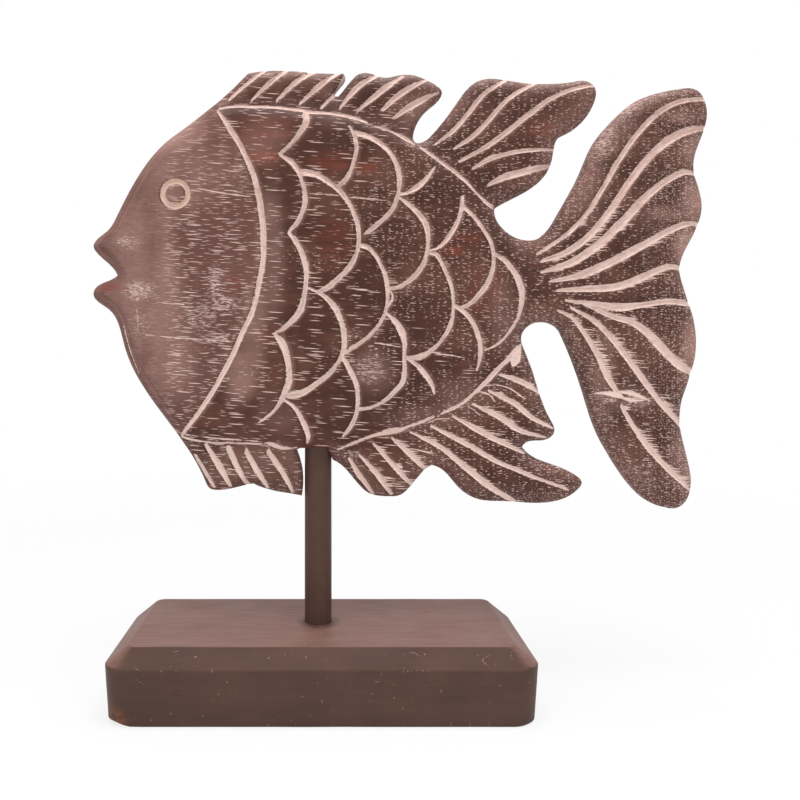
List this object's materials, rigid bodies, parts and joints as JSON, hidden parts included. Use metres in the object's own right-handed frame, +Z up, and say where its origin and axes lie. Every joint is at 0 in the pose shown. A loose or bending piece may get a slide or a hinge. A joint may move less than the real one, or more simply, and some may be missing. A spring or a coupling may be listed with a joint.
{
  "type": "fish figurine",
  "caption": "Carved wooden fish with raised body, scale and fin-ray grooves and an eye ring, held up by a round post on a bevelled rectangular base block.",
  "frame": {"origin": "centre of the base block's underside", "axes": "+Z up along the post, +X from the fish's mouth to its tail, -Y out of the carved face that is looked at"},
  "size_m": [0.2701, 0.075, 0.2737],
  "materials": {
    "limed_wood": "dark stain with pale limewash rubbed into the carving, satin",
    "stand_wood": "plain dark brown stain, satin",
    "screw_steel": "zinc plated"
  },
  "bodies": {
    "root": {"fish": "limed_wood", "post": "stand_wood", "base": "stand_wood", "base_screw": "screw_steel"}
  },
  "joints": []
}
